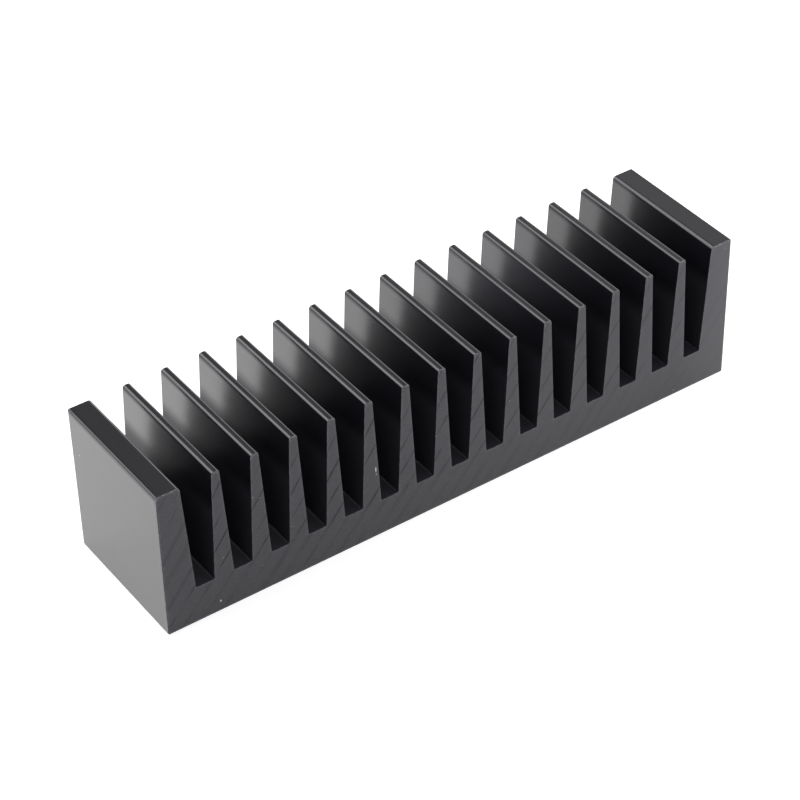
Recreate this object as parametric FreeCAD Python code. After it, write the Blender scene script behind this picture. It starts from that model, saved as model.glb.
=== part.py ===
import FreeCAD, Part
import math
import os

# Extruded aluminium heat sink, one piece, in millimetres with +Z up.
# Its profile lies in the XZ plane and runs straight along Y, between two sawn faces.
# The origin is on the underside, midway between the end walls and between the sawn faces.

# Overall sizes
WIDTH = 160.0  # over both end walls
HEIGHT = 40.0  # from the underside to the tips
CUT_LENGTH = 37.5  # length of the piece sawn off the extruded bar
BASE_THICKNESS = 10.0  # solid plate under the fins and channels

# Fins, which taper from root to tip
FIN_COUNT = 14
FIN_TIP_WIDTH = 2.0
FIN_ROOT_WIDTH = 5.15

# End walls, upright outside and tapered inside
WALL_TIP_WIDTH = 6.0
WALL_ROOT_WIDTH = 8.0

# Corner radii of the profile
FIN_TIP_RADIUS = 0.7
WALL_INNER_RADIUS = 1.0
WALL_OUTER_RADIUS = 0.4
UNDERSIDE_RADIUS = 0.4
CHANNEL_FLOOR_RADIUS = 0.4


def channel_sides(wall_width, fin_width):
    """Left and right side of each channel at one height, from the left to the right.

    The channels share equally what the two end walls and the fins leave of the width.
    """
    channel_count = FIN_COUNT + 1
    channel_width = (WIDTH - 2 * wall_width - FIN_COUNT * fin_width) / channel_count
    first = wall_width - WIDTH / 2
    pitch = channel_width + fin_width
    lefts = [first + i * pitch for i in range(channel_count)]
    return [(left, left + channel_width) for left in lefts]


def profile_corners():
    """Corners of the profile as (x, z, radius), clockwise from the lower left.

    A radius is never over half the width of the fin, wall or channel floor that it rounds.
    """
    side = WIDTH / 2
    tips = channel_sides(WALL_TIP_WIDTH, FIN_TIP_WIDTH)
    roots = channel_sides(WALL_ROOT_WIDTH, FIN_ROOT_WIDTH)
    floor_width = roots[0][1] - roots[0][0]
    fin_radius = min(FIN_TIP_RADIUS, FIN_TIP_WIDTH / 2)
    wall_radius = min(WALL_INNER_RADIUS, WALL_TIP_WIDTH / 2)
    floor_radius = min(CHANNEL_FLOOR_RADIUS, floor_width / 2)
    corners = [(-side, 0, UNDERSIDE_RADIUS), (-side, HEIGHT, WALL_OUTER_RADIUS)]
    for i, (tip, root) in enumerate(zip(tips, roots)):
        left_radius = wall_radius if i == 0 else fin_radius
        right_radius = wall_radius if i == FIN_COUNT else fin_radius
        corners.append((tip[0], HEIGHT, left_radius))
        corners.append((root[0], BASE_THICKNESS, floor_radius))
        corners.append((root[1], BASE_THICKNESS, floor_radius))
        corners.append((tip[1], HEIGHT, right_radius))
    corners.append((side, HEIGHT, WALL_OUTER_RADIUS))
    corners.append((side, 0, UNDERSIDE_RADIUS))
    return corners


def corner_arc(before, corner, after, radius):
    """Arc of the radius that is tangent to both sides of a corner."""
    back = (before - corner).normalize()
    ahead = (after - corner).normalize()
    half_angle = back.getAngle(ahead) / 2
    reach = radius / math.tan(half_angle)
    inset = radius / math.sin(half_angle) - radius
    middle = corner + (back + ahead).normalize() * inset
    return Part.Arc(corner + back * reach, middle, corner + ahead * reach)


def profile_wire(y):
    """Closed outline of the profile at y, with every corner rounded."""
    corners = profile_corners()
    points = [FreeCAD.Vector(x, y, z) for x, z, radius in corners]
    radii = [radius for x, z, radius in corners]
    before = points[-1:] + points[:-1]
    after = points[1:] + points[:1]
    arcs = [corner_arc(*values) for values in zip(before, points, after, radii)]
    edges = []
    for i, arc in enumerate(arcs):
        edges.append(Part.LineSegment(arcs[i - 1].EndPoint, arc.StartPoint).toShape())
        edges.append(arc.toShape())
    return Part.Wire(edges)


def heat_sink():
    """The profile extruded from the front sawn face to the back one."""
    face = Part.Face(profile_wire(-CUT_LENGTH / 2))
    return face.extrude(FreeCAD.Vector(0, CUT_LENGTH, 0))


os.makedirs("parts", exist_ok=True)
heat_sink().exportStep("parts/heat_sink.step")
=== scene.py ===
# %% [markdown]
# # A black anodised heat sink
# The real object is one length of aluminium extrusion. A die gives it a thick base, fourteen
# tapered fins and two heavier end walls. A saw cuts it to length. The cut face that shows is dark
# too, so the black dye came after the saw.
# Its shape is finished already, as a solid with true sizes, so it is loaded and never reshaped.
# What is left to do here is the look: sawn edges, the drawn skin, saw marks, nicks and light.

# %% Load the finished solid
import math

import bpy
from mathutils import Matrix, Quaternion, Vector


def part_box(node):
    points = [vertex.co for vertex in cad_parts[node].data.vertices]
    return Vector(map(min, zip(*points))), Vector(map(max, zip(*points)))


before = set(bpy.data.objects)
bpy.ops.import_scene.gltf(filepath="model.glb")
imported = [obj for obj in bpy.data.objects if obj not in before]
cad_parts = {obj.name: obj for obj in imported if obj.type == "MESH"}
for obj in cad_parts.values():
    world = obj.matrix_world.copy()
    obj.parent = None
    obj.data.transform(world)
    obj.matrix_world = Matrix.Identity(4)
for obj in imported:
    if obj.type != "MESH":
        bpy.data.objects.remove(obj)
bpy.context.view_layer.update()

MM = 0.001
heat_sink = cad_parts["heat_sink"]
low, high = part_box("heat_sink")
print("heat sink, mm:", [round(side / MM, 2) for side in high - low])

# %% [markdown]
# ## The camera
# A product photograph like this one is taken with a long lens from above one corner of the
# object, so parallel edges stay almost parallel. The camera could be placed by eye. It is placed
# by measurement instead: its angle, distance and focal length were fitted to the edges of the
# real object, so each fin lands where the photograph has it.

# %% Place the camera
PHOTO_PIXELS = 800
SENSOR_WIDTH = 36  # in millimetres, which is how Blender counts a lens
FOCAL_PIXELS = 2668.7
CAMERA_AZIMUTH = math.radians(-34.32)
CAMERA_ELEVATION = math.radians(38.71)
CAMERA_ROLL = math.radians(-1.255)
CAMERA_DISTANCE = 624.8 * MM
CAMERA_TARGET = Vector((-3.78, 0, 18.44)) * MM

towards_camera = Vector((
    math.sin(CAMERA_AZIMUTH) * math.cos(CAMERA_ELEVATION),
    -math.cos(CAMERA_AZIMUTH) * math.cos(CAMERA_ELEVATION),
    math.sin(CAMERA_ELEVATION),
))
camera_data = bpy.data.cameras.new("photo_camera")
camera_data.sensor_width = SENSOR_WIDTH
camera_data.lens = FOCAL_PIXELS / PHOTO_PIXELS * SENSOR_WIDTH
camera = bpy.data.objects.new("photo_camera", camera_data)
camera.location = CAMERA_TARGET + towards_camera * CAMERA_DISTANCE
camera.rotation_mode = "QUATERNION"
aim = (-towards_camera).to_track_quat("-Z", "Y")
camera.rotation_quaternion = aim @ Quaternion((0, 0, 1), CAMERA_ROLL)
bpy.context.collection.objects.link(camera)
bpy.context.scene.camera = camera
bpy.context.scene.view_settings.view_transform = "Standard"
print("camera lens, mm:", round(camera_data.lens, 1))

# %% [markdown]
# ## The sawn edges
# A sawn edge looks sharp but isn't. In the photograph a fine light line runs round the cut face,
# and an edge that is rounded by about a tenth of a millimetre catches the light like that.
# Modifiers make it here and leave the solid's own mesh alone. The solid arrives with its faces
# apart and cut into triangles, so they are welded and flat ones merged first.

# %% Round the sawn edges
SAWN_EDGE_WIDTH = 0.1 * MM
SAWN_EDGE_STEPS = 3
SAME_POINT = 0.001 * MM
SAME_PLANE = math.radians(0.5)
SHARP_EDGE = math.radians(50)
FLAT_WEIGHT = 100  # the most that large faces can set the shading of their corners

weld = heat_sink.modifiers.new("join_faces", "WELD")
weld.merge_threshold = SAME_POINT
merge = heat_sink.modifiers.new("merge_flat_faces", "DECIMATE")
merge.decimate_type = "DISSOLVE"
merge.angle_limit = SAME_PLANE
broken_edge = heat_sink.modifiers.new("broken_edge", "BEVEL")
broken_edge.width = SAWN_EDGE_WIDTH
broken_edge.segments = SAWN_EDGE_STEPS
broken_edge.limit_method = "ANGLE"
broken_edge.angle_limit = SHARP_EDGE
broken_edge.use_clamp_overlap = False
broken_edge.loop_slide = False
flat_faces = heat_sink.modifiers.new("keep_flats_flat", "WEIGHTED_NORMAL")
flat_faces.weight = FLAT_WEIGHT
print("modifiers:", [modifier.name for modifier in heat_sink.modifiers])

# %% [markdown]
# ## Helpers for shader nodes
# Every finish below is drawn by nodes, so it has no picture to stretch and no seam. Nodes that
# are added and joined one by one take pages of code, so short helpers do it: one adds a node,
# one joins it up, one does a sum, and one splits a vector.

# %% Helpers that add and join nodes
def add(tree, kind, **settings):
    """Adds a node and gives it its settings."""
    node = tree.nodes.new(kind)
    for name, value in settings.items():
        setattr(node, name, value)
    return node


def feed(tree, socket, value):
    """Joins another node's output to the socket, or writes a plain value on it."""
    if isinstance(value, bpy.types.NodeSocket):
        tree.links.new(value, socket)
    else:
        socket.default_value = value


def maths(tree, operation, first, second=0.0, third=0.0):
    """Arithmetic on numbers."""
    node = add(tree, "ShaderNodeMath", operation=operation)
    for socket, value in zip(node.inputs, (first, second, third)):
        feed(tree, socket, value)
    return node.outputs["Value"]


def axes(tree, vector):
    """Splits a vector into its X, Y and Z."""
    node = add(tree, "ShaderNodeSeparateXYZ")
    feed(tree, node.inputs["Vector"], vector)
    return node.outputs


# %% [markdown]
# Three more helpers shape values: one maps a range with a soft start and end, one mixes two
# colours or two numbers, and one makes soft random patches. The Mix node keeps sockets for
# several kinds under the same labels, so its sockets are found by their identifiers.

# %% Helpers that shape values
def between(tree, value, low_in, high_in, low_out=0.0, high_out=1.0):
    """Maps a range of values to another, with a soft start and end."""
    node = add(tree, "ShaderNodeMapRange", interpolation_type="SMOOTHSTEP")
    for socket, given in zip(node.inputs, (value, low_in, high_in, low_out, high_out)):
        feed(tree, socket, given)
    return node.outputs["Result"]


def blend(tree, amount, first, second, kind="Color"):
    """Mixes two colours, or two numbers where the kind is Float."""
    node = add(tree, "ShaderNodeMix", data_type="FLOAT" if kind == "Float" else "RGBA")
    sockets = {socket.identifier: socket for socket in [*node.inputs, *node.outputs]}
    feed(tree, sockets["Factor_Float"], amount)
    feed(tree, sockets["A_" + kind], first)
    feed(tree, sockets["B_" + kind], second)
    return sockets["Result_" + kind]


MIDDLE = 0.5  # of noise, of a random value and of a spacing
SOFT = 1.0  # how many finer layers a noise has
PLAIN = 2.0
CRISP = 3.0


def noise(tree, vector, scale, layers):
    """Soft random values, with the scale in patches per metre."""
    node = add(tree, "ShaderNodeTexNoise")
    feed(tree, node.inputs["Vector"], vector)
    feed(tree, node.inputs["Scale"], scale)
    feed(tree, node.inputs["Detail"], layers)
    return node.outputs["Fac"]


# %% [markdown]
# A node group is a finish's own small machine with named inputs and outputs. Each pattern below
# is one, so its settings can be changed where it is used, in this material or in another.

# %% Helpers for node groups
def new_group(name, inputs, outputs):
    """A shader node group with vector or number inputs and number outputs."""
    group = bpy.data.node_groups.new(name, "ShaderNodeTree")
    for label, value in inputs.items():
        kind = "NodeSocketVector" if value is None else "NodeSocketFloat"
        socket = group.interface.new_socket(label, in_out="INPUT", socket_type=kind)
        if value is not None:
            socket.default_value = value
    for label in outputs:
        group.interface.new_socket(label, in_out="OUTPUT", socket_type="NodeSocketFloat")
    source = group.nodes.new("NodeGroupInput")
    result = group.nodes.new("NodeGroupOutput")
    return group, source.outputs, result.inputs


def place_group(tree, group, position):
    """Puts a group into a material and tells it where each point lies."""
    node = add(tree, "ShaderNodeGroup", node_tree=group)
    feed(tree, node.inputs["Position"], position)
    return node.outputs


# %% [markdown]
# ## Saw marks
# The marks in the photograph fit one arc, shifted along the width. A circular saw that moves
# sideways through the bar leaves such marks, each with the blade's own radius. One number tells
# which arc a point lies on: its place along the width, less the arc's bulge there. Any pattern
# drawn over that number follows the blade. An image of scratches would repeat and blur, and
# straight lines would look wrong on the tall fins, where the arcs turn more upright.

# %% Where the blade stood
BLADE_RADIUS = 243 * MM
BLADE_HEIGHT = 165 * MM  # of the blade's middle over the underside
BACK_FACE_SHIFT = 0.37  # share of the bar's length, so the back face has other marks


def blade_place(group, x, y, z):
    """Where the blade's middle stood along the width as its rim passed the point."""
    rise = maths(group, "SUBTRACT", z, BLADE_HEIGHT)
    fall = maths(group, "MULTIPLY", rise, -1.0)
    bulge = maths(group, "SQRT", maths(group, "MULTIPLY_ADD", fall, rise, BLADE_RADIUS ** 2))
    arc = maths(group, "SUBTRACT", x, bulge)
    return maths(group, "MULTIPLY_ADD", y, BACK_FACE_SHIFT, arc)


print("blade radius, mm:", round(BLADE_RADIUS / MM))

# %% [markdown]
# The marks stand at an even spacing, but each one wanders a little and has its own width and
# depth. White noise gives each arc its own three random numbers. In the photograph the marks are
# thin and strong on the fins, broad and faint in the solid parts, and broken up in patches. The
# reason isn't known, so the values below only follow what it shows.

# %% Saw mark group
MARK_SPACING = 5.148 * MM
MARK_SHIFT = 1.53 * MM  # slides the marks to where the photograph has them
MARK_WANDER = 0.12  # in spacings
THIN_MARK = 0.46 * MM
BROAD_MARK = 1.15 * MM
NARROWEST = 0.6  # of a plain mark's width, and the widest is 1.6 times as wide
MARK_LEAST = 0.6  # strength of the faintest mark on a fin
MARK_RANGE = 0.3  # what the strongest has more
LOST_IN_SOLID = 0.74  # share of a mark's strength that the base and walls take away
FIN_FEET = (14 * MM, 8 * MM)  # heights between which a fin turns into the base
WALL_FEET = (71 * MM, 74 * MM)  # distances from the middle between which a wall begins
PATCHES_PER_METRE = 150.0
PATCH_NOISE = (0.34, 0.56)
PATCH_LEAST = 0.15  # what the faintest patch leaves of a mark
RIPPLES_PER_METRE = 900.0


def mark_spread(group, turns, random, wander, spacing):
    """How far a point is from the middle of its own mark."""
    aside = maths(group, "SUBTRACT", random, MIDDLE)
    offset = maths(group, "MULTIPLY", aside, wander)
    along = maths(group, "SUBTRACT", maths(group, "FRACT", turns), MIDDLE)
    away = maths(group, "ABSOLUTE", maths(group, "SUBTRACT", along, offset))
    return maths(group, "MULTIPLY", away, spacing)


def solid_parts(group, x, z):
    """One in the base and the end walls, and nothing in the fins."""
    in_base = between(group, z, *FIN_FEET)
    in_wall = between(group, maths(group, "ABSOLUTE", x), *WALL_FEET)
    return maths(group, "MAXIMUM", in_base, in_wall)


def make_saw_marks():
    """A group that gives the marks as a mask and the ripple between them."""
    group, given, result = new_group(
        "saw_marks",
        {"Position": None, "Spacing": MARK_SPACING, "Wander": MARK_WANDER},
        ["Mark", "Ripple"],
    )
    x, y, z = axes(group, given["Position"])
    arc = blade_place(group, x, y, z)
    turns = maths(group, "DIVIDE", maths(group, "ADD", arc, MARK_SHIFT), given["Spacing"])
    random = add(group, "ShaderNodeTexWhiteNoise", noise_dimensions="1D")
    feed(group, random.inputs["W"], maths(group, "FLOOR", turns))
    split = add(group, "ShaderNodeSeparateColor")
    feed(group, split.inputs["Color"], random.outputs["Color"])
    away = mark_spread(group, turns, split.outputs["Red"], given["Wander"], given["Spacing"])

    solid = solid_parts(group, x, z)
    width = maths(group, "MULTIPLY_ADD", solid, BROAD_MARK - THIN_MARK, THIN_MARK)
    own_width = maths(group, "ADD", split.outputs["Green"], NARROWEST)
    line = between(group, away, maths(group, "MULTIPLY", width, own_width), 0.0)
    strength = maths(group, "MULTIPLY_ADD", split.outputs["Blue"], MARK_RANGE, MARK_LEAST)
    kept = maths(group, "MULTIPLY_ADD", solid, -LOST_IN_SOLID, 1.0)
    strength = maths(group, "MULTIPLY", strength, kept)
    soft = noise(group, given["Position"], PATCHES_PER_METRE, CRISP)
    patches = between(group, soft, *PATCH_NOISE, PATCH_LEAST, 1.0)
    mark = maths(group, "MULTIPLY", maths(group, "MULTIPLY", line, strength), patches)
    feed(group, result["Mark"], mark)

    ripple = add(group, "ShaderNodeTexNoise", noise_dimensions="1D")
    feed(group, ripple.inputs["W"], maths(group, "MULTIPLY", arc, RIPPLES_PER_METRE))
    feed(group, ripple.inputs["Scale"], 1.0)
    feed(group, ripple.inputs["Detail"], CRISP)
    feed(group, result["Ripple"], ripple.outputs["Fac"])
    return group


saw_marks = make_saw_marks()
print("saw marks, mm apart:", MARK_SPACING / MM)

# %% [markdown]
# ## Distance from the sawn outline
# Bright points sparkle along the outline of the cut face in a band under a millimetre wide:
# burrs, with a painted highlight on them. Bright points, which look like tiny burrs, sparkle
# along the outline of the cut face in a band under a millimetre wide. The shader has to know
# how far a point is from the outline for that.
# It could be painted, but the outline is regular: the channels repeat, and their sides are
# straight, so a little arithmetic gives the distance at every point.

# %% Outline distance group
HALF_WIDTH = 80 * MM
FULL_HEIGHT = 40 * MM
FLOOR_HEIGHT = 10 * MM
LAST_CHANNEL = 7  # the channels are counted from the middle one
FLOOR_PITCH = 9.943 * MM
TIP_PITCH = 10.0 * MM
FLOOR_HALF = 2.396 * MM  # half the width of a channel's floor
TIP_HALF = 4.0 * MM  # half the width of a channel between two tips


def from_channels(group, x, z):
    """Distance from the nearest channel's sides and floor."""
    up = maths(group, "SUBTRACT", z, FLOOR_HEIGHT)
    up = maths(group, "DIVIDE", up, FULL_HEIGHT - FLOOR_HEIGHT)
    pitch = maths(group, "MULTIPLY_ADD", up, TIP_PITCH - FLOOR_PITCH, FLOOR_PITCH)
    half = maths(group, "MULTIPLY_ADD", up, TIP_HALF - FLOOR_HALF, FLOOR_HALF)
    number = maths(group, "ROUND", maths(group, "DIVIDE", x, pitch))
    number = maths(group, "MAXIMUM", number, -LAST_CHANNEL)
    number = maths(group, "MINIMUM", number, LAST_CHANNEL)
    sideways = maths(group, "SUBTRACT", x, maths(group, "MULTIPLY", number, pitch))
    from_side = maths(group, "SUBTRACT", maths(group, "ABSOLUTE", sideways), half)
    from_floor = maths(group, "SUBTRACT", FLOOR_HEIGHT, z)
    return maths(group, "MAXIMUM", from_side, from_floor)


def make_outline_distance():
    """A group that gives the distance from the outline of the sawn face, in metres."""
    group, given, result = new_group("outline_distance", {"Position": None}, ["Distance"])
    xyz = axes(group, given["Position"])
    x, z = xyz["X"], xyz["Z"]
    ends = maths(group, "SUBTRACT", HALF_WIDTH, maths(group, "ABSOLUTE", x))
    rims = maths(group, "MINIMUM", z, maths(group, "SUBTRACT", FULL_HEIGHT, z))
    outside = maths(group, "MINIMUM", ends, rims)
    nearest = maths(group, "MINIMUM", from_channels(group, x, z), outside)
    feed(group, result["Distance"], nearest)
    return group


outline_distance = make_outline_distance()
print("channels:", 2 * LAST_CHANNEL + 1)

# %% [markdown]
# ## Drawn lines
# The die drags faint lines along the whole bar, so on the skin everything varies across the
# grain and hardly at all along it. Noise that is squeezed across and stretched along gives
# such lines. They are fine enough to be left to the shader.

# %% Drawn line group
LINES_ACROSS = 2200.0  # noise cells per metre
LINES_ALONG = 12.0


def make_drawn_lines():
    """A group that gives noise drawn out along the bar."""
    group, given, result = new_group(
        "drawn_lines",
        {"Position": None, "Fineness": LINES_ACROSS, "Length": LINES_ALONG},
        ["Lines"],
    )
    stretch = add(group, "ShaderNodeCombineXYZ")
    feed(group, stretch.inputs["X"], given["Fineness"])
    feed(group, stretch.inputs["Y"], given["Length"])
    feed(group, stretch.inputs["Z"], given["Fineness"])
    scaled = add(group, "ShaderNodeVectorMath", operation="MULTIPLY")
    feed(group, scaled.inputs[0], given["Position"])
    feed(group, scaled.inputs[1], stretch.outputs["Vector"])
    feed(group, result["Lines"], noise(group, scaled.outputs["Vector"], 1.0, CRISP))
    return group


drawn_lines = make_drawn_lines()
print("drawn lines, mm apart:", round(1 / LINES_ACROSS / MM, 2))

# %% [markdown]
# ## Nicks
# Bright specks lie here and there, as where the black skin is chipped down to bare metal.
# Voronoi cells scatter points evenly, and each cell's random colour decides whether it has a
# speck and how large it is. Their number and size are given.

# %% Nick group
NICK_SPACING = 4.0 * MM
NICK_SIZE = 0.16 * MM
NICK_SHARE = 0.04  # share of the cells that have one
NICK_CORE = 0.4  # share of a nick's radius that is quite bare


def make_nicks():
    """A group that gives scattered specks as a mask."""
    group, given, result = new_group(
        "nicks",
        {"Position": None, "Spacing": NICK_SPACING, "Size": NICK_SIZE, "Share": NICK_SHARE},
        ["Nick"],
    )
    cells = add(group, "ShaderNodeTexVoronoi")
    feed(group, cells.inputs["Vector"], given["Position"])
    feed(group, cells.inputs["Scale"], maths(group, "DIVIDE", 1.0, given["Spacing"]))
    split = add(group, "ShaderNodeSeparateColor")
    feed(group, split.inputs["Color"], cells.outputs["Color"])
    chosen = maths(group, "LESS_THAN", split.outputs["Red"], given["Share"])
    radius = maths(group, "MULTIPLY", given["Size"], split.outputs["Green"])
    reach = maths(group, "DIVIDE", radius, given["Spacing"])
    core = maths(group, "MULTIPLY", reach, NICK_CORE)
    inside = between(group, cells.outputs["Distance"], reach, core)
    feed(group, result["Nick"], maths(group, "MULTIPLY", inside, chosen))
    return group


nicks = make_nicks()
print("nicks, share of cells:", NICK_SHARE)

# %% [markdown]
# The front face has a few larger chips, each in its own place on this one piece. They are the
# marks a person would know it by, so they are placed one by one. A row of the list says how far
# across and up, the half width and half height, all in millimetres, and how bright.

# %% Placed chips
CHIPS = [
    (-66.1, 2.8, 0.24, 0.36, 0.8),
    (-23.6, 19.8, 0.13, 1.00, 1.0),
    (-23.5, 18.4, 0.14, 0.30, 0.5),
    (-6.9, 21.4, 0.16, 0.26, 0.6),
    (-32.7, 17.9, 0.15, 0.34, 0.5),
    (-56.1, 28.0, 0.18, 0.18, 0.35),
    (-54.5, 27.2, 0.18, 0.18, 0.2),
    (-72.5, 21.4, 0.15, 0.34, 0.25),
    (-46.3, 14.5, 0.18, 0.18, 0.2),
    (-64.6, 15.0, 0.24, 0.16, 0.2),
    (-54.8, 7.4, 0.26, 0.18, 0.12),
    (-76.9, 27.3, 0.26, 0.16, 0.1),
    (14.2, 21.8, 0.24, 0.20, 0.2),
    (21.4, 10.0, 0.18, 0.18, 0.6),
    (26.8, 24.2, 0.14, 0.24, 0.2),
    (64.5, 1.3, 0.20, 0.20, 0.35),
    (78.4, 38.0, 0.40, 0.12, 0.2),
]
CHIP_EDGE = (1.0, 0.1)  # from the rim of a chip, where it fades out, in towards its middle


def make_chips():
    """A group that gives the placed chips of the front face as a mask."""
    group, given, result = new_group("chips", {"Position": None}, ["Chip"])
    x, y, z = axes(group, given["Position"])
    chip = 0.0
    for across, up, width, height, bright in CHIPS:
        dx = maths(group, "DIVIDE", maths(group, "SUBTRACT", x, across * MM), width * MM)
        dz = maths(group, "DIVIDE", maths(group, "SUBTRACT", z, up * MM), height * MM)
        away = maths(group, "MULTIPLY_ADD", dx, dx, maths(group, "MULTIPLY", dz, dz))
        shown = between(group, away, *CHIP_EDGE, 0.0, bright)
        chip = maths(group, "MAXIMUM", chip, shown)
    on_front = maths(group, "LESS_THAN", y, 0.0)
    feed(group, result["Chip"], maths(group, "MULTIPLY", chip, on_front))
    return group


chips = make_chips()
print("placed chips:", len(CHIPS))

# %% [markdown]
# ## Black anodised aluminium
# Anodising grows a clear, hard oxide film on the metal, and dye fills it. Light meets it twice:
# the film's surface mirrors the room, and the dye below swallows nearly all the rest. A dark
# base under a clear coat is that in shader terms. The die-drawn skin is smooth and has the
# coat. The sawn faces look like dull charcoal, so here they get none. One material serves both,
# and masks mix what differs between them.
#
# Height matters to the finish too. In the photograph the top corners mirror less, the burrs
# sparkle at the top and along the bottom, and the fins' sides turn matt and dark downwards. Wear
# and a thinner film would look like that, and so might the photographer's light. The burrs'
# sparkle is partly a painted highlight. From here on the values are fitted to one photograph
# under this scene's own lamps, and aren't measured properties of the metal. Why the finish varies
# over the object is a guess.

# %% Bands of height
TOP_BAND = (38.3 * MM, 39.5 * MM)
BOTTOM_BAND = (1.2 * MM, 0.3 * MM)
DEEP_BAND = (32.5 * MM, 27.5 * MM)
print("bands of height, mm:", [round(edge / MM, 1) for edge in TOP_BAND + BOTTOM_BAND + DEEP_BAND])

# %% [markdown]
# The masks could be painted on the mesh, but the surface tells enough about itself. What faces
# along the bar is a sawn face, and its normal says so. The broken edge turns from one finish to
# the other, and the band in between has a mask of its own.

# %% Where a point lies and what its surface is
SAWN_FACING = (0.80, 0.98)  # shares of the normal that point along the bar
EDGE_FACING = (0.05, 0.3)
SIDE_FACING = (0.85, 0.98)  # shares that point along the width
END_INSET = 1.0 * MM  # the outer faces of the end walls lie beyond it


def read_surface(tree):
    """Coordinates and masks that the steps below share, by name."""
    place = add(tree, "ShaderNodeTexCoord")
    position = place.outputs["Object"]
    x, y, z = axes(tree, position)
    facing = axes(tree, place.outputs["Normal"])
    along_bar = maths(tree, "ABSOLUTE", facing["Y"])
    sawn = between(tree, along_bar, *SAWN_FACING)
    skin = maths(tree, "SUBTRACT", 1.0, sawn)
    near_ends = HALF_WIDTH - END_INSET
    inside = maths(tree, "LESS_THAN", maths(tree, "ABSOLUTE", x), near_ends)
    above_underside = maths(tree, "GREATER_THAN", z, FLOOR_HEIGHT / 2)
    return {
        "position": position,
        "x": x,
        "y": y,
        "z": z,
        "sawn": sawn,
        "skin": skin,
        "edge": maths(tree, "MULTIPLY", between(tree, along_bar, *EDGE_FACING), skin),
        "upright": between(tree, maths(tree, "ABSOLUTE", facing["X"]), *SIDE_FACING),
        "in_channels": maths(tree, "MULTIPLY", inside, above_underside),
        "top": between(tree, z, *TOP_BAND),
        "deep": between(tree, z, *DEEP_BAND),
    }


print("normal's share along the bar, sawn:", SAWN_FACING, "broken edge:", EDGE_FACING)

# %% [markdown]
# ## The colour of the skin
# The dyed skin is nearly black, and is set a shade lighter in the channels' depth. On the fins
# right of the middle the photograph shows a faint grey haze, which is a reflection. One
# photograph can't tell whether it lies on the object or is a reflection. Here it is a painted
# reflection in the colour: a soft patch, strongest at the top and to the back, and faded out
# over width, height and length.

# %% Skin colour
SKIN_COLOUR = (0.0050, 0.0050, 0.0075, 1)
DEEP_SKIN_COLOUR = (0.020, 0.019, 0.024, 1)
PAINTED_REFLECTION_COLOUR = (0.030, 0.029, 0.038, 1)
PAINTED_REFLECTION_MIDDLE = 30 * MM
PAINTED_REFLECTION_REACH = (20 * MM, 6 * MM)
PAINTED_REFLECTION_RISE = (24 * MM, 34 * MM)
PAINTED_REFLECTION_BACK = (-19 * MM, 6 * MM)


def painted_reflection_patch(tree, at):
    """A mask of the painted reflection on the fins' sides."""
    from_middle = maths(tree, "ABSOLUTE", maths(tree, "SUBTRACT", at["x"], PAINTED_REFLECTION_MIDDLE))
    patch = between(tree, from_middle, *PAINTED_REFLECTION_REACH)
    patch = maths(tree, "MULTIPLY", patch, between(tree, at["z"], *PAINTED_REFLECTION_RISE))
    patch = maths(tree, "MULTIPLY", patch, between(tree, at["y"], *PAINTED_REFLECTION_BACK))
    return maths(tree, "MULTIPLY", patch, at["upright"])


def skin_colour(tree, at):
    """The dyed skin, with its paler depth and a painted reflection over it."""
    deep = maths(tree, "MULTIPLY", at["in_channels"], at["deep"])
    dyed = blend(tree, deep, SKIN_COLOUR, DEEP_SKIN_COLOUR)
    # Lays the painted reflection, a grey veil, over the fins right of the middle.
    return blend(tree, painted_reflection_patch(tree, at), dyed, PAINTED_REFLECTION_COLOUR)


print("skin colour:", SKIN_COLOUR[:3], "deep down:", DEEP_SKIN_COLOUR[:3])

# %% [markdown]
# ## The colour of the sawn faces
# The cut has a light and dark grit. Fine noise draws the grit, and a little of a coarser one
# makes it uneven. The photograph shows the face greyer to the right: hardly at all at the left,
# a little more across the middle, and plainly on the right end wall. Across the middle that grey
# is painted light, lighter towards the right; on the end wall the colour is set greyer still.
# That may be rubbing or light, and the colours follow it either way.

# %% Sawn colour
SAWN_DARK = (0.064, 0.064, 0.0695, 1)
SAWN_LIGHT = (0.077, 0.077, 0.083, 1)
GREY_AND_PAINTED_LIGHT_COLOUR = (0.104, 0.104, 0.111, 1)
GRIT_PER_METRE = 2600.0
MOTTLES_PER_METRE = 420.0
GRIT_SHARE = 0.8
GRAIN_NOISE = (0.34, 0.66)
PAINTED_LIGHT_SHARE = 0.34
PAINTED_LIGHT_SPAN = (-50 * MM, 50 * MM)
GREYED_END = (62 * MM, 80 * MM)


def sawn_colour(tree, at):
    """The grit of the cut, greyed to the right, across the middle by painted light."""
    grit = noise(tree, at["position"], GRIT_PER_METRE, PLAIN)
    mottle = noise(tree, at["position"], MOTTLES_PER_METRE, CRISP)
    coarse = maths(tree, "MULTIPLY", mottle, 1.0 - GRIT_SHARE)
    grain = maths(tree, "MULTIPLY_ADD", grit, GRIT_SHARE, coarse)
    gritty = blend(tree, between(tree, grain, *GRAIN_NOISE), SAWN_DARK, SAWN_LIGHT)
    # Painted light: the face is set lighter towards the right across the middle.
    painted_light_grey = between(tree, at["x"], *PAINTED_LIGHT_SPAN, 0.0, PAINTED_LIGHT_SHARE)
    end_grey = between(tree, at["x"], *GREYED_END, 0.0, 1.0 - PAINTED_LIGHT_SHARE)
    return blend(tree, maths(tree, "ADD", end_grey, painted_light_grey), gritty, GREY_AND_PAINTED_LIGHT_COLOUR)


print("grit colours:", SAWN_DARK[:3], SAWN_LIGHT[:3], "greyed:", GREY_AND_PAINTED_LIGHT_COLOUR[:3])

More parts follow.
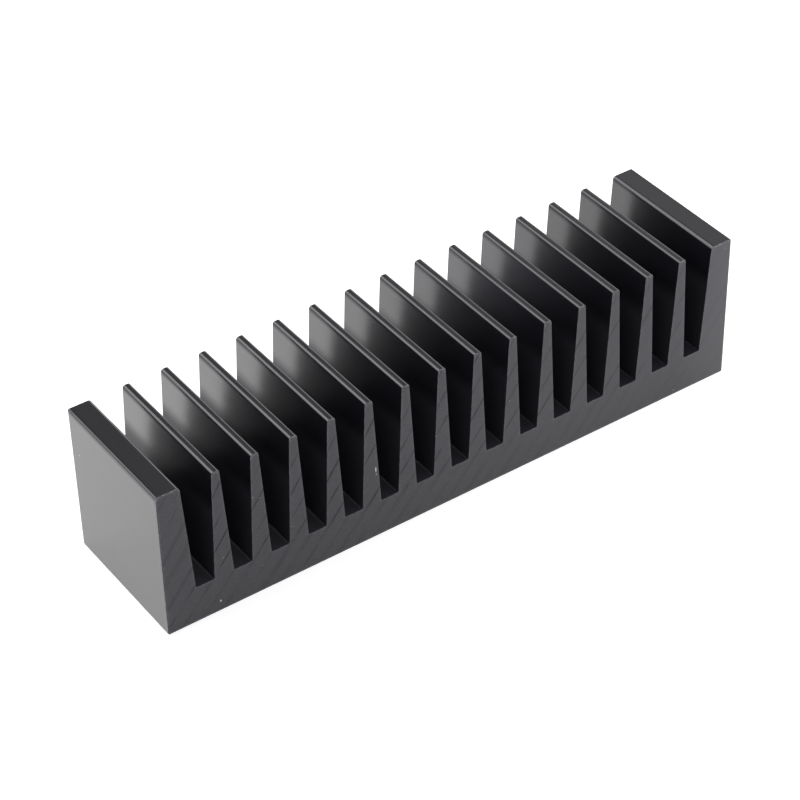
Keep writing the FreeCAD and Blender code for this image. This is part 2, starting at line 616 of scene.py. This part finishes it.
# %% [markdown]
# ## Burrs, painted highlights, wear and bare metal
# Burrs sparkle along the outline of the cut, most at the tips, less along the bottom, and
# hardly at all down the sides of the channels. That sparkle is partly a painted highlight, laid
# where the rims catch the light. The broken edge looks worn in places, to a paler grey. Saw marks
# are darker than the face, and in the photograph they are fainter to the right. Each is a mask
# that lays its own colour over what is below, as in a painter's layers.

# %% Marks, burrs and painted highlights
MARKS_AT_RIGHT = 0.3
BURR_HIGHLIGHT_BAND = 0.8 * MM
BURR_HIGHLIGHTS_PER_METRE = 3300.0
BURR_HIGHLIGHT_NOISE = (0.46, 0.68)
BURR_HIGHLIGHT_AT_BOTTOM = 0.6
BURR_HIGHLIGHT_AT_SIDES = 0.2
WEAR_PER_METRE = 700.0
WEAR_NOISE = (0.35, 0.7)


def mark_mask(tree, at, mark):
    """Saw marks on the sawn faces alone, fainter to the right."""
    fading = between(tree, at["x"], -HALF_WIDTH, HALF_WIDTH, 1.0, MARKS_AT_RIGHT)
    return maths(tree, "MULTIPLY", maths(tree, "MULTIPLY", mark, fading), at["sawn"])


def burr_highlight_mask(tree, at):
    """Burrs with a painted highlight along the outline of the sawn faces."""
    # A painted highlight with burrs in it, strongest at the tips, where the rims catch the light.
    outline = place_group(tree, outline_distance, at["position"])["Distance"]
    near = between(tree, outline, BURR_HIGHLIGHT_BAND, 0.0)
    bottom = between(tree, at["z"], *BOTTOM_BAND, 0.0, BURR_HIGHLIGHT_AT_BOTTOM)
    rims = maths(tree, "MAXIMUM", at["top"], bottom)
    share = maths(tree, "MULTIPLY_ADD", rims, 1.0 - BURR_HIGHLIGHT_AT_SIDES, BURR_HIGHLIGHT_AT_SIDES)
    near = maths(tree, "MULTIPLY", near, share)
    sparkle = between(tree, noise(tree, at["position"], BURR_HIGHLIGHTS_PER_METRE, SOFT), *BURR_HIGHLIGHT_NOISE)
    return maths(tree, "MULTIPLY", maths(tree, "MULTIPLY", near, sparkle), at["sawn"])


def wear_mask(tree, at):
    """Worn places on the broken edge."""
    worn = between(tree, noise(tree, at["position"], WEAR_PER_METRE, CRISP), *WEAR_NOISE)
    return maths(tree, "MULTIPLY", at["edge"], worn)


def bare_mask(tree, at):
    """Bare metal, in nicks anywhere and in the chips of the front face."""
    nick = place_group(tree, nicks, at["position"])["Nick"]
    chip = place_group(tree, chips, at["position"])["Chip"]
    return maths(tree, "MAXIMUM", nick, maths(tree, "MULTIPLY", chip, at["sawn"]))


print("burr band, mm:", round(BURR_HIGHLIGHT_BAND / MM, 1))

# %% [markdown]
# ## The gloss
# How sharply a surface mirrors is its roughness. The drawn skin is set fairly smooth, with slow
# clouds, and a little duller to the right. The sawn face is rough, and most of all in its
# marks. A bare chip is set partly to metal.

# %% Roughness
SKIN_ROUGHNESS = 0.285
DULL_ROUGHNESS = 0.08  # added towards the right end
DULL_SPAN = (-20 * MM, 20 * MM)  # from the left half's gloss to the right half's
CLOUDS_PER_METRE = 60.0
CLOUD_ROUGHNESS = 0.02
SAWN_ROUGHNESS = 0.55
MARK_ROUGHNESS = 0.3
BARE_METALLIC = 0.6


def roughness(tree, at, mark):
    """Roughness of the skin and of the sawn faces."""
    dull = between(tree, at["x"], *DULL_SPAN, SKIN_ROUGHNESS, SKIN_ROUGHNESS + DULL_ROUGHNESS)
    cloud = noise(tree, at["position"], CLOUDS_PER_METRE, CRISP)
    uneven = maths(tree, "SUBTRACT", cloud, MIDDLE)
    skin_rough = maths(tree, "MULTIPLY_ADD", uneven, CLOUD_ROUGHNESS, dull)
    sawn_rough = maths(tree, "MULTIPLY_ADD", mark, MARK_ROUGHNESS, SAWN_ROUGHNESS)
    return blend(tree, at["sawn"], skin_rough, sawn_rough, "Float")


print("roughness of the skin:", SKIN_ROUGHNESS, "of the sawn faces:", SAWN_ROUGHNESS)

# %% [markdown]
# ## The clear film
# The film is what mirrors the white table in the fins' sides. Its share of the surface is set
# apart from its gloss: a little more in the channels than outside, hardly any deep down, little
# at the top corners, a tenth less to the right, and none on the sawn faces. No share was
# measured on a real film. Each was changed until the render came near the photograph.

# %% Film
FILM_SHARE = 0.72
CHANNEL_FILM_SHARE = 0.84
DEEP_FILM_SHARE = 0.05
TOP_FILM = 0.25  # what the top corners keep of it
RIGHT_FILM = 0.9  # what the right half keeps


def film_share(tree, at):
    """How much of the surface the clear film covers."""
    thinning = DEEP_FILM_SHARE - CHANNEL_FILM_SHARE
    in_channel = maths(tree, "MULTIPLY_ADD", at["deep"], thinning, CHANNEL_FILM_SHARE)
    extra = maths(tree, "SUBTRACT", in_channel, FILM_SHARE)
    extra = maths(tree, "MULTIPLY", at["in_channels"], extra)
    film = maths(tree, "ADD", extra, FILM_SHARE)
    top_corner = maths(tree, "MULTIPLY", at["upright"], at["top"])
    kept = maths(tree, "MULTIPLY_ADD", top_corner, TOP_FILM - 1.0, 1.0)
    film = maths(tree, "MULTIPLY", film, kept)
    film = maths(tree, "MULTIPLY", film, between(tree, at["x"], *DULL_SPAN, 1.0, RIGHT_FILM))
    return maths(tree, "MULTIPLY", at["skin"], film)


print("film share outside:", FILM_SHARE, "in the channels:", CHANNEL_FILM_SHARE)

# %% [markdown]
# ## The relief
# Drawn lines and saw marks are taken as a few hundredths of a millimetre deep at most. That is
# too fine for the mesh, so a Bump node tilts the light instead: fine lines on the skin, and on
# the sawn faces the marks as grooves with a fine ripple between them.

# %% Bump
RELIEF_DEPTH = 0.02 * MM
LINE_RELIEF = 0.06
RIPPLE_RELIEF = 0.25


def relief(tree, at, mark, ripple):
    """Normals tilted by the drawn lines and the saw marks."""
    lines = place_group(tree, drawn_lines, at["position"])["Lines"]
    on_skin = maths(tree, "MULTIPLY", at["skin"], LINE_RELIEF)
    skin_height = maths(tree, "MULTIPLY", lines, on_skin)
    rippled = maths(tree, "MULTIPLY", ripple, RIPPLE_RELIEF)
    groove = maths(tree, "SUBTRACT", rippled, mark)
    sawn_height = maths(tree, "MULTIPLY", groove, at["sawn"])
    bump = add(tree, "ShaderNodeBump")
    bump.inputs["Distance"].default_value = RELIEF_DEPTH
    feed(tree, bump.inputs["Height"], maths(tree, "ADD", skin_height, sawn_height))
    return bump.outputs["Normal"]


print("relief depth, mm:", RELIEF_DEPTH / MM)

# %% [markdown]
# ## Putting the finish together
# What is the same everywhere goes straight onto the shader's own sockets: the film's gloss and
# its power to bend light, and the stretch of the highlights across the drawn lines, which turns
# round the bar with the tangent. Both indices of refraction are fitted too. All that varies
# comes from the steps above.

# %% Black anodised material
OXIDE_IOR = 1.25
OXIDE_TINT = (0.84, 0.84, 1.0, 1)
DRAWN_STRETCH = 0.45
FILM_IOR = 1.8
FILM_ROUGHNESS = 0.235
MARK_COLOUR = (0.010, 0.010, 0.013, 1)
BURR_HIGHLIGHT_COLOUR = (0.30, 0.30, 0.31, 1)
WORN_COLOUR = (0.14, 0.14, 0.145, 1)
BARE_METAL = (0.75, 0.75, 0.74, 1)


def make_black_anodised():
    """Builds the finish in the heat sink's own material and counts its nodes."""
    material = heat_sink.data.materials[0]
    tree = material.node_tree
    tree.nodes.clear()
    surface = add(tree, "ShaderNodeBsdfPrincipled")
    output = add(tree, "ShaderNodeOutputMaterial")
    feed(tree, output.inputs["Surface"], surface.outputs["BSDF"])
    surface.inputs["IOR"].default_value = OXIDE_IOR
    surface.inputs["Specular Tint"].default_value = OXIDE_TINT
    surface.inputs["Anisotropic"].default_value = DRAWN_STRETCH
    surface.inputs["Coat IOR"].default_value = FILM_IOR
    surface.inputs["Coat Roughness"].default_value = FILM_ROUGHNESS
    round_the_bar = add(tree, "ShaderNodeTangent", direction_type="RADIAL", axis="Y")
    feed(tree, surface.inputs["Tangent"], round_the_bar.outputs["Tangent"])

    at = read_surface(tree)
    marks = place_group(tree, saw_marks, at["position"])
    mark = mark_mask(tree, at, marks["Mark"])
    bare = bare_mask(tree, at)
    # The skin's colour holds a painted reflection, and the sawn face's colour painted light to the
    # right.
    colour = blend(tree, at["sawn"], skin_colour(tree, at), sawn_colour(tree, at))
    colour = blend(tree, mark, colour, MARK_COLOUR)
    # Burrs with a painted highlight along the cut's outline.
    colour = blend(tree, burr_highlight_mask(tree, at), colour, BURR_HIGHLIGHT_COLOUR)
    colour = blend(tree, wear_mask(tree, at), colour, WORN_COLOUR)
    colour = blend(tree, bare, colour, BARE_METAL)
    feed(tree, surface.inputs["Base Color"], colour)
    feed(tree, surface.inputs["Metallic"], maths(tree, "MULTIPLY", bare, BARE_METALLIC))
    feed(tree, surface.inputs["Roughness"], roughness(tree, at, mark))
    feed(tree, surface.inputs["Coat Weight"], film_share(tree, at))
    feed(tree, surface.inputs["Normal"], relief(tree, at, mark, marks["Ripple"]))
    return len(tree.nodes)


print("nodes in the finish:", make_black_anodised())
print("material slots:", [material.name for material in heat_sink.data.materials])

# %% [markdown]
# ## The table and the room
# The photograph has a pure white background. A white table would need so much lamp light to look
# that white that the black metal would turn grey. So the table adds a little glow of its own,
# only for what the camera and the reflections see, and it still shows the object's soft shadow.
# Its lower side is clear, so a view from below looks through it at the underside.

# %% Build the table
TABLE_SIDE = 6.0

half = TABLE_SIDE / 2
table_corners = [(-half, -half, 0), (half, -half, 0), (half, half, 0), (-half, half, 0)]
table_mesh = bpy.data.meshes.new("table")
table_mesh.from_pydata(table_corners, [], [(0, 1, 2, 3)])
table = bpy.data.objects.new("table", table_mesh)
bpy.context.collection.objects.link(table)
print("table side, m:", TABLE_SIDE)

# %% White paper on the table
PAPER_LIGHTEST = 0.83
PAPER_DARKEST = 0.79
PAPER_GRAIN_PER_METRE = 900.0
PAPER_NOISE = (0.2, 0.8)
TABLE_GLOW = 0.55


def paper_colour(tree):
    """White with a faint grain."""
    position = add(tree, "ShaderNodeTexCoord").outputs["Object"]
    grain = noise(tree, position, PAPER_GRAIN_PER_METRE, PLAIN)
    shade = between(tree, grain, *PAPER_NOISE, PAPER_DARKEST, PAPER_LIGHTEST)
    tone = add(tree, "ShaderNodeCombineColor")
    for name in ("Red", "Green", "Blue"):
        feed(tree, tone.inputs[name], shade)
    return tone.outputs["Color"]


def seen_or_mirrored(tree):
    """One for what the camera sees, directly, in a mirror or through glass."""
    ray = add(tree, "ShaderNodeLightPath")
    seen = maths(tree, "MAXIMUM", ray.outputs["Is Camera Ray"], ray.outputs["Is Glossy Ray"])
    return maths(tree, "MAXIMUM", seen, ray.outputs["Is Transmission Ray"])


def make_table_material():
    """Pale paper with a glow above, and clear below."""
    material = bpy.data.materials.new("white_table")
    material.use_nodes = True
    tree = material.node_tree
    tree.nodes.clear()
    output = add(tree, "ShaderNodeOutputMaterial")
    paper = add(tree, "ShaderNodeBsdfDiffuse")
    feed(tree, paper.inputs["Color"], paper_colour(tree))
    glow = add(tree, "ShaderNodeEmission")
    strength = maths(tree, "MULTIPLY", seen_or_mirrored(tree), TABLE_GLOW)
    feed(tree, glow.inputs["Strength"], strength)
    lit = add(tree, "ShaderNodeAddShader")
    feed(tree, lit.inputs[0], paper.outputs["BSDF"])
    feed(tree, lit.inputs[1], glow.outputs["Emission"])
    clear = add(tree, "ShaderNodeBsdfTransparent")
    lower_side = add(tree, "ShaderNodeNewGeometry").outputs["Backfacing"]
    sides = add(tree, "ShaderNodeMixShader")
    feed(tree, sides.inputs["Fac"], lower_side)
    feed(tree, sides.inputs[1], lit.outputs["Shader"])
    feed(tree, sides.inputs[2], clear.outputs["BSDF"])
    feed(tree, output.inputs["Surface"], sides.outputs["Shader"])
    return material


table_mesh.materials.append(make_table_material())
print("table glow:", TABLE_GLOW)

# %% [markdown]
# The room is grey-white all round and a little brighter overhead. A dark cloth hangs at the
# back right, where the flat tops mirror it and look dark, while the rounded corners beside them
# still mirror bright things and show as light lines. The room could be built as walls. A world
# with soft steps in it does the same with six nodes.

# %% Light the room
HORIZON_LIGHT = 0.55
ZENITH_LIGHT = 0.85
ROOM_RISE = (0.3, 1.0)  # sines of the heights between which it brightens
CLOTH_DIRECTION = Vector((0.33, 0.68, 0.66)).normalized()
CLOTH_EDGES = (0.92, 0.99)  # cosines of the angles from the middle of the cloth
CLOTH_SHADE = 0.3

world = bpy.data.worlds.new("studio")
world.use_nodes = True
bpy.context.scene.world = world
sky = world.node_tree
direction = add(sky, "ShaderNodeTexCoord").outputs["Generated"]
height = axes(sky, direction)["Z"]
room = between(sky, height, *ROOM_RISE, HORIZON_LIGHT, ZENITH_LIGHT)
towards_cloth = add(sky, "ShaderNodeVectorMath", operation="DOT_PRODUCT")
feed(sky, towards_cloth.inputs[0], direction)
feed(sky, towards_cloth.inputs[1], CLOTH_DIRECTION)
cloth = between(sky, towards_cloth.outputs["Value"], *CLOTH_EDGES, 1.0, CLOTH_SHADE)
background = sky.nodes["Background"]
feed(sky, background.inputs["Color"], (1, 1, 1, 1))
feed(sky, background.inputs["Strength"], maths(sky, "MULTIPLY", room, cloth))
print("room light:", HORIZON_LIGHT, "to", ZENITH_LIGHT)

# %% [markdown]
# Four softboxes stand round the object, three behind it and one off its right end. Each is an
# area lamp, and is described as a photographer would: where it stands, how wide it looks from
# the object, and how bright its front is. The lamp's power follows from those, so a lamp can be
# moved or resized and looks as bright in a reflection as before.

# %% Softboxes
def softbox(name, azimuth, elevation, distance, spread, radiance):
    """A rectangular lamp that faces the object and fills the given angles, in degrees.

    The azimuth runs clockwise from the back, as seen from above.
    """
    turn, lift = math.radians(azimuth), math.radians(elevation)
    flat = math.cos(lift)
    direction = Vector((math.sin(turn) * flat, math.cos(turn) * flat, math.sin(lift)))
    sides = [2 * distance * math.tan(math.radians(angle) / 2) for angle in spread]
    lamp = bpy.data.lights.new(name, "AREA")
    lamp.shape = "RECTANGLE"
    lamp.size, lamp.size_y = sides
    lamp.energy = radiance * math.pi * sides[0] * sides[1]
    holder = bpy.data.objects.new(name, lamp)
    holder.location = direction * distance
    holder.rotation_mode = "QUATERNION"
    holder.rotation_quaternion = direction.to_track_quat("Z", "Y")
    bpy.context.collection.objects.link(holder)
    print(name, "power, W:", round(lamp.energy, 2))


softbox("back_left_softbox", azimuth=-42, elevation=38, distance=0.9, spread=(66, 40), radiance=1.9)
softbox("back_top_softbox", azimuth=-22, elevation=62, distance=0.9, spread=(34, 16), radiance=1.3)
softbox("right_softbox", azimuth=122, elevation=22, distance=0.36, spread=(74, 36), radiance=1.8)
softbox("back_right_softbox", azimuth=57, elevation=16, distance=0.9, spread=(50, 22), radiance=1.1)
